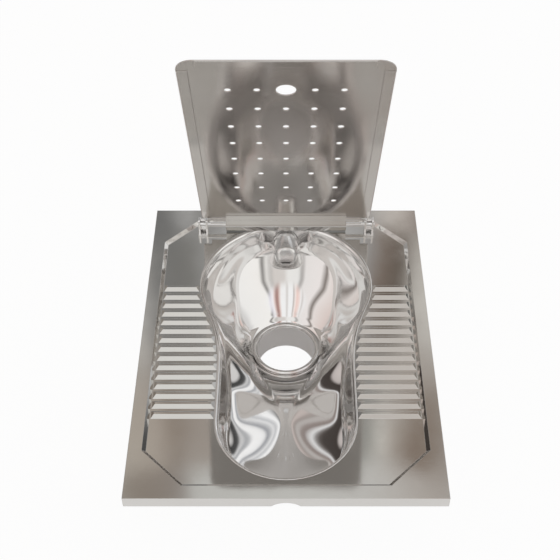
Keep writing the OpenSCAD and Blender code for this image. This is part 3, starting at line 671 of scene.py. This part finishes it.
class PAN_OT_nozzle(bpy.types.Operator):
    """Makes the flush nozzle with its rounded snout and its slit"""

    bl_idname = "pan.nozzle"
    bl_label = "Flush nozzle"

    # points round the nozzle, steps along its cone and round its tip
    ROUND, CONE, TIP = 72, 10, 14
    TIP_SHORT = 0.4 * MM
    LIP_H = 3.4 * MM
    # the slit below and above the lip's middle, and how deep it goes
    SLIT_BELOW, SLIT_ABOVE, SLIT_DEEP, SLIT_OUT = (
        2.2 * MM, 0.8 * MM, 9 * MM, 4 * MM)

    def execute(self, context):
        s = context.scene.pan_nozzle
        low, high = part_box("flush_nozzle")
        wall, tip, front = high[1], low[1], s.front_r
        # stations: distance from the rear end, half width, top, bottom
        stop = wall - tip - s.tip_l
        rows = [(0.0, s.rear_r, s.rear_r, s.rear_r)]
        for i in range(self.CONE + 1):
            t = i / self.CONE
            r = s.rear_r + (front - s.rear_r) * t
            rows.append((s.ring_end + (stop - s.ring_end) * t, r, r, r))
        for i in range(1, self.TIP + 1):
            a = math.pi / 2 * i / self.TIP
            fall = 1 - math.cos(a)
            rows.append((stop + (s.tip_l - self.TIP_SHORT) * math.sin(a),
                         front - (front - s.tip_w) * fall,
                         front - (front + s.lip_z) * fall,
                         front - (front - s.lip_z - self.LIP_H) * fall))
        count, verts, faces = self.ROUND, [], []
        for d, w, top, bottom in rows:
            mid, half = (top - bottom) / 2, (top + bottom) / 2
            for j in range(count):
                a = 2 * math.pi * j / count
                verts.append((w * math.cos(a), wall - d,
                              s.height + mid + half * math.sin(a)))
        for i in range(len(rows) - 1):
            for j in range(count):
                k = (j + 1) % count
                faces.append((i * count + j, i * count + k,
                              (i + 1) * count + k, (i + 1) * count + j))
        faces.append(tuple(range(count))[::-1])
        last = (len(rows) - 1) * count
        faces.append(tuple(range(last, last + count)))
        piece = mesh_piece("nozzle_skin", verts, faces, "cast_nozzle",
                           "pan")
        mesh = piece.data
        shape = bmesh.new()
        shape.from_mesh(mesh)
        bmesh.ops.recalc_face_normals(shape, faces=shape.faces)
        shape.to_mesh(mesh)
        shape.free()
        lip = s.height - s.lip_z
        tool = self.block(
            context,
            (-s.slit_w / 2, tip - self.SLIT_OUT, lip - self.SLIT_BELOW),
            (s.slit_w / 2, tip + self.SLIT_DEEP, lip + self.SLIT_ABOVE))
        cut = piece.modifiers.new("slit", "BOOLEAN")
        cut.object = tool
        cut.solver = "EXACT"
        graph = context.evaluated_depsgraph_get()
        done = bpy.data.meshes.new_from_object(piece.evaluated_get(graph))
        piece.modifiers.remove(cut)
        bpy.data.objects.remove(tool)
        if len(done.polygons) < len(mesh.polygons) // 2:
            raise RuntimeError("the slit spoiled the nozzle")
        piece.data = done
        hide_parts("flush_nozzle")
        return {"FINISHED"}

    def block(self, context, a, b):
        """A box between two corners, to cut with."""
        mesh = bpy.data.meshes.new("slit_tool")
        shape = bmesh.new()
        bmesh.ops.create_cube(shape, size=1.0)
        for v in shape.verts:
            v.co = Vector([(a[i] + b[i]) / 2 + v.co[i] * (b[i] - a[i])
                           for i in range(3)])
        shape.to_mesh(mesh)
        shape.free()
        tool = bpy.data.objects.new("slit_tool", mesh)
        context.scene.collection.objects.link(tool)
        return tool


class PAN_OT_rim_weld(bpy.types.Operator):
    """Lays the ground weld bead along the rim with a swept curve"""

    bl_idname = "pan.rim_weld"
    bl_label = "Rim weld"

    POINTS = 900
    SUNK = 0.3 * MM

    def execute(self, context):
        s = context.scene.pan_bowl
        shape = Keyhole(s)
        rim = shape.outline()
        path = bpy.data.meshes.new("rim_weld")
        n = len(rim)
        path.from_pydata(
            [(x, y, shape.rim_z - self.SUNK) for x, y, _, _ in rim],
            [(i, (i + 1) % n) for i in range(n)], [])
        holder = bpy.data.objects.new("rim_weld", path)
        context.scene.collection.objects.link(holder)
        grow(holder, self.bead_tree(),
             {"Radius": s.bead_r, "Ripple": 0.5 * s.bead_r,
              "Material": finish_of("polished_parts")},
             "pan")
        return {"FINISHED"}

    def bead_tree(self):
        tree, src, out = new_group(
            "bead_along_edge", "GeometryNodeTree",
            (("Geometry", "Geometry"), ("Radius", "Float", 0.0008),
             ("Ripple", "Float", 0.0004), ("Material", "Material")),
            (("Geometry", "Geometry"),))
        curve = tree.nodes.new("GeometryNodeMeshToCurve")
        link(tree, src["Geometry"], curve.inputs[0])
        steps = add(tree, "GeometryNodeResampleCurve",
                    {"Count": self.POINTS}, Curve=curve.outputs[0])
        steps.mode = "COUNT"
        noise = add(tree, "ShaderNodeTexNoise",
                    {"Scale": 160.0, "Detail": 2.0})
        swell = calc(tree, "MULTIPLY_ADD", noise.outputs["Fac"],
                     src["Ripple"], src["Radius"])
        ring = add(tree, "GeometryNodeCurvePrimitiveCircle",
                   {"Resolution": 8, "Radius": 1.0})
        sweep = add(tree, "GeometryNodeCurveToMesh",
                    Curve=steps.outputs[0], Scale=swell,
                    Profile_Curve=ring.outputs[0])
        paint(tree, sweep, src, out)
        return tree


def paint(tree, shape, src, out):
    """Ends a geometry tree: real instances with the given material."""
    real = tree.nodes.new("GeometryNodeRealizeInstances")
    link(tree, shape.outputs[0], real.inputs[0])
    last = add(tree, "GeometryNodeSetMaterial", Geometry=real.outputs[0],
               Material=src["Material"])
    link(tree, last.outputs[0], out["Geometry"])


def grow(holder, tree, values, body):
    """Runs a node tree on the holder and keeps the result as plain mesh."""
    mod = holder.modifiers.new(tree.name, "NODES")
    mod.node_group = tree
    for item in tree.interface.items_tree:
        if item.in_out == "INPUT" and item.name in values:
            mod[item.identifier] = values[item.name]
    holder.data.update()
    graph = bpy.context.evaluated_depsgraph_get()
    mesh = bpy.data.meshes.new_from_object(holder.evaluated_get(graph))
    holder.modifiers.remove(mod)
    holder.data = mesh
    if not len(mesh.polygons):
        raise RuntimeError(f"{tree.name} made nothing")
    mesh.polygons.foreach_set("use_smooth", [True] * len(mesh.polygons))
    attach(holder, body)
    return holder


class PAN_OT_deck(bpy.types.Operator):
    """Finishes the deck, its treads and the fittings on and under it"""

    bl_idname = "pan.deck"
    bl_label = "Deck and fittings"

    def execute(self, context):
        dress("deck_tray", "rolled_deck")
        for node in ("outlet_collar", "outlet_pipe", "flush_nozzle",
                     "nozzle_collar", "inlet_pipe", "inlet_flange",
                     "hinge_bracket_left", "hinge_bracket_right",
                     "hinge_rod"):
            dress(node, "polished_parts")
        for node in NODES:
            if node.startswith(("tread_stiffener", "anchor_lug")):
                dress(node, "mill_strip")
        return {"FINISHED"}


class PAN_OT_cover(bpy.types.Operator):
    """Finishes the cover and presses a lip round each drain hole"""

    bl_idname = "pan.cover"
    bl_label = "Cover"

    def execute(self, context):
        dress("cover_panel", "cover_sheet")
        dress("cover_leaf", "rolled_deck")
        s = context.scene.pan_cover
        middle = (s.columns - 1) / 2
        drains = [(j - middle, i) for i in range(s.rows)
                  for j in range(s.columns)
                  if (i, j) != (s.rows - 1, middle)]
        self.lips(context, "drain_lips", drains, s.hole_r)
        self.lips(context, "finger_lip", [(0, s.rows - 1)], s.finger_r)
        return {"FINISHED"}

    def lips(self, context, name, places, radius):
        """Rounded lips on the inner face, one instance at each hole."""
        s = context.scene.pan_cover
        lean, rise = math.cos(s.open_angle), math.sin(s.open_angle)
        points = []
        for column, row in places:
            d = s.hole_first + row * s.row_pitch
            points.append((column * s.col_pitch,
                           s.hinge_y - d * lean + s.face_w * rise,
                           s.hinge_z + d * rise + s.face_w * lean))
        mesh = bpy.data.meshes.new(name)
        mesh.from_pydata(points, [], [])
        holder = bpy.data.objects.new(name, mesh)
        context.scene.collection.objects.link(holder)
        return grow(holder, self.lip_tree(), {
            "Radius": radius + 0.5 * s.lip_r, "Lip": s.lip_r, "Seed": 4,
            "Tilt": (-s.open_angle, 0.0, 0.0),
            "Material": finish_of("cover_sheet")},
            "cover")

    def lip_tree(self):
        name = "lip_at_each_hole"
        if name in bpy.data.node_groups:
            return bpy.data.node_groups[name]
        tree, src, out = new_group(
            name, "GeometryNodeTree",
            (("Geometry", "Geometry"), ("Radius", "Float", 0.0043),
             ("Lip", "Float", 0.00045), ("Seed", "Int", 4),
             ("Tilt", "Vector", (0, 0, 0)), ("Material", "Material")),
            (("Geometry", "Geometry"),))
        edge = add(tree, "GeometryNodeCurvePrimitiveCircle",
                   {"Resolution": 40}, Radius=src["Radius"])
        section = add(tree, "GeometryNodeCurvePrimitiveCircle",
                      {"Resolution": 10}, Radius=src["Lip"])
        ring = add(tree, "GeometryNodeCurveToMesh", Curve=edge.outputs[0],
                   Profile_Curve=section.outputs[0])
        size = tree.nodes.new("FunctionNodeRandomValue")
        size.data_type = "FLOAT_VECTOR"
        size.inputs["Min"].default_value = (0.97, 0.97, 0.8)
        size.inputs["Max"].default_value = (1.03, 1.03, 1.1)
        link(tree, src["Seed"], size.inputs["Seed"])
        place = add(tree, "GeometryNodeInstanceOnPoints",
                    Points=src["Geometry"], Instance=ring.outputs[0],
                    Rotation=src["Tilt"], Scale=size.outputs["Value"])
        paint(tree, place, src, out)
        return tree


class PAN_OT_stage(bpy.types.Operator):
    """Sets the studio floor, the soft light and the camera"""

    bl_idname = "pan.stage"
    bl_label = "Stage"

    def execute(self, context):
        s = context.scene.pan_stage
        self.floor(context, s)
        self.world(context)
        self.camera(context)
        view = context.scene.view_settings
        view.view_transform = "Standard"
        return {"FINISHED"}

    def floor(self, context, s):
        mesh = bpy.data.meshes.new("studio_floor")
        r, z = 6.0, s.floor_z
        mesh.from_pydata([(-r, -r, z), (r, -r, z), (r, r, z), (-r, r, z)],
                         [], [(0, 1, 2, 3)])
        floor = bpy.data.objects.new("studio_floor", mesh)
        context.scene.collection.objects.link(floor)
        mat = bpy.data.materials.new("studio_floor")
        mat.use_nodes = True
        tree = mat.node_tree
        tree.nodes.clear()
        diffuse = add(tree, "ShaderNodeBsdfDiffuse",
                      {"Color": (*s.floor_color, 1)})
        glow = add(tree, "ShaderNodeEmission",
                   {"Color": (1, 1, 1, 1), "Strength": 1.0})
        path = tree.nodes.new("ShaderNodeLightPath").outputs
        spot = tree.nodes.new("ShaderNodeTexCoord").outputs["Object"]
        split = add(tree, "ShaderNodeSeparateXYZ", Vector=spot)
        # the floor in front of the pan is brighter where the apron shows it
        near = calc(tree, "LESS_THAN", split.outputs["Y"], s.bright_y)
        near = calc(tree, "MULTIPLY", near, path["Is Glossy Ray"])
        seen = calc(tree, "MULTIPLY", path["Is Camera Ray"], FLOOR_SEEN)
        white = calc(tree, "MULTIPLY_ADD", near, FLOOR_SHOWN, seen)
        mix = add(tree, "ShaderNodeMixShader", Fac=white)
        link(tree, diffuse.outputs[0], mix.inputs[1])
        link(tree, glow.outputs[0], mix.inputs[2])
        out = tree.nodes.new("ShaderNodeOutputMaterial")
        link(tree, mix.outputs[0], out.inputs["Surface"])
        mesh.materials.append(mat)

    def world(self, context):
        world = bpy.data.worlds.new("studio")
        context.scene.world = world
        world.use_nodes = True
        tree = world.node_tree
        tree.nodes.clear()
        place = tree.nodes.new("ShaderNodeTexCoord").outputs["Generated"]
        x, y, z = add(tree, "ShaderNodeSeparateXYZ", Vector=place).outputs

        def ramp(value, lo, hi):
            node = add(tree, "ShaderNodeMapRange",
                       {"From Min": lo, "From Max": hi}, Value=value)
            node.interpolation_type = "SMOOTHSTEP"
            return node.outputs[0]

        # panels and gaps all round the pan, and a ceiling with lamp strips;
        # a turn of 0.5 is the back, 0 and 1 are the front
        turn = calc(tree, "ARCTAN2", x, y)
        turn = calc(tree, "MULTIPLY_ADD", turn, 0.5 / math.pi, 0.5)
        strip = calc(tree, "MULTIPLY_ADD", x, 0.5, 0.5)
        right = calc(tree, "GREATER_THAN", turn, 0.5)
        view = self.over(tree, right, self.panels(tree, turn, WALL_PANELS),
                         self.panels(tree, turn, SIDE_PANELS))
        tone = self.over(tree, ramp(x, -0.06, 0.06),
                         self.plain(tree, AHEAD_LEFT),
                         self.plain(tree, AHEAD_RIGHT))
        away = calc(tree, "ABSOLUTE", calc(tree, "SUBTRACT", turn, 0.5))
        ahead = ramp(away, *(d / 360 for d in AHEAD_TURN))
        view = self.over(tree, calc(tree, "MULTIPLY", ahead,
                                    ramp(z, *AHEAD_RISE)), view, tone)
        near, far = ROWS_TURN
        behind = calc(
            tree, "MULTIPLY",
            ramp(turn, (180 - far) / 360, (180 - near) / 360),
            calc(tree, "SUBTRACT", 1.0,
                 ramp(turn, (180 + near) / 360, (180 + far) / 360)))
        for low, high, stops in ROWS:
            share = calc(tree, "MULTIPLY", behind, ramp(z, low, high))
            view = self.over(tree, share, view,
                             self.panels(tree, turn, stops))
        view = self.over(tree, ramp(z, *CEILING_RISE), view,
                         self.panels(tree, strip, CEILING_STRIPS))
        view = self.over(tree, ramp(z, *HORIZON),
                         self.plain(tree, HORIZON_COLOR), view)
        room = add(tree, "ShaderNodeBackground", {"Strength": 1.0},
                   Color=view)
        white = add(tree, "ShaderNodeBackground", {"Color": (1, 1, 1, 1)})
        path = tree.nodes.new("ShaderNodeLightPath")
        mix = add(tree, "ShaderNodeMixShader",
                  Fac=path.outputs["Is Camera Ray"])
        link(tree, room.outputs[0], mix.inputs[1])
        link(tree, white.outputs[0], mix.inputs[2])
        out = tree.nodes.new("ShaderNodeOutputWorld")
        link(tree, mix.outputs[0], out.inputs["Surface"])

    def plain(self, tree, color):
        """One colour as a socket."""
        node = tree.nodes.new("ShaderNodeCombineColor")
        for socket, value in zip(node.inputs, color):
            socket.default_value = value
        return node.outputs[0]

    def over(self, tree, share, below, above):
        """One colour laid over another by a share."""
        node = tree.nodes.new("ShaderNodeMix")
        node.data_type = "RGBA"
        link(tree, share, node.inputs["Factor"])
        link(tree, below, node.inputs["A"])
        link(tree, above, node.inputs["B"])
        return node.outputs["Result"]

    def panels(self, tree, turn, stops):
        """Light and dark panels round the room, from the turn about Z."""
        node = tree.nodes.new("ShaderNodeValToRGB")
        marks = node.color_ramp.elements
        for i, (degrees, color) in enumerate(stops):
            place = (degrees + 180.0) / 360.0
            mark = marks[i] if i < 2 else marks.new(place)
            mark.position = place
            mark.color = (*color, 1)
        link(tree, turn, node.inputs["Fac"])
        return node.outputs["Color"]

    def camera(self, context):
        data = bpy.data.cameras.new("photo_camera")
        data.lens = SENSOR_MM * FOCAL_PX / PICTURE_PX
        data.sensor_width = SENSOR_MM
        data.shift_x = SHIFT_PX[0] / PICTURE_PX
        data.shift_y = SHIFT_PX[1] / PICTURE_PX
        data.clip_start, data.clip_end = 0.05, 50.0
        cam = bpy.data.objects.new("photo_camera", data)
        cam.location = CAMERA_AT
        cam.rotation_euler = (math.pi / 2 - PITCH, 0.0, 0.0)
        context.scene.collection.objects.link(cam)
        context.scene.camera = cam


class PAN_PT_sidebar(bpy.types.Panel):
    """Lists the pan's pieces and their sizes"""

    bl_idname = "PAN_PT_sidebar"
    bl_label = "Squat pan"
    bl_space_type = "VIEW_3D"
    bl_region_type = "UI"
    bl_category = "Pan"

    def draw(self, context):
        scene = context.scene
        for group in (scene.pan_bowl, scene.pan_nozzle, scene.pan_cover,
                      scene.pan_finish, scene.pan_stage):
            box = self.layout.box()
            for name in group.__annotations__:
                box.prop(group, name)
        for kind in STEPS:
            self.layout.operator(kind.bl_idname)


SETTINGS = (("pan_bowl", PanBowlSettings),
            ("pan_nozzle", PanNozzleSettings), ("pan_cover", PanCoverSettings),
            ("pan_finish", PanFinishSettings), ("pan_stage", PanStageSettings))
STEPS = (PAN_OT_deck, PAN_OT_bowl, PAN_OT_nozzle, PAN_OT_rim_weld,
         PAN_OT_cover, PAN_OT_stage)


def register():
    for name, kind in SETTINGS:
        bpy.utils.register_class(kind)
        setattr(bpy.types.Scene, name, bpy.props.PointerProperty(type=kind))
    for kind in STEPS + (PAN_PT_sidebar,):
        bpy.utils.register_class(kind)


def unregister():
    for kind in (PAN_PT_sidebar,) + STEPS[::-1]:
        bpy.utils.unregister_class(kind)
    for name, kind in SETTINGS[::-1]:
        delattr(bpy.types.Scene, name)
        bpy.utils.unregister_class(kind)


def main():
    register()
    bpy.ops.pan.deck()
    bpy.ops.pan.bowl()
    bpy.ops.pan.nozzle()
    bpy.ops.pan.rim_weld()
    bpy.ops.pan.cover()
    bpy.ops.pan.stage()


if __name__ == "__main__":
    main()
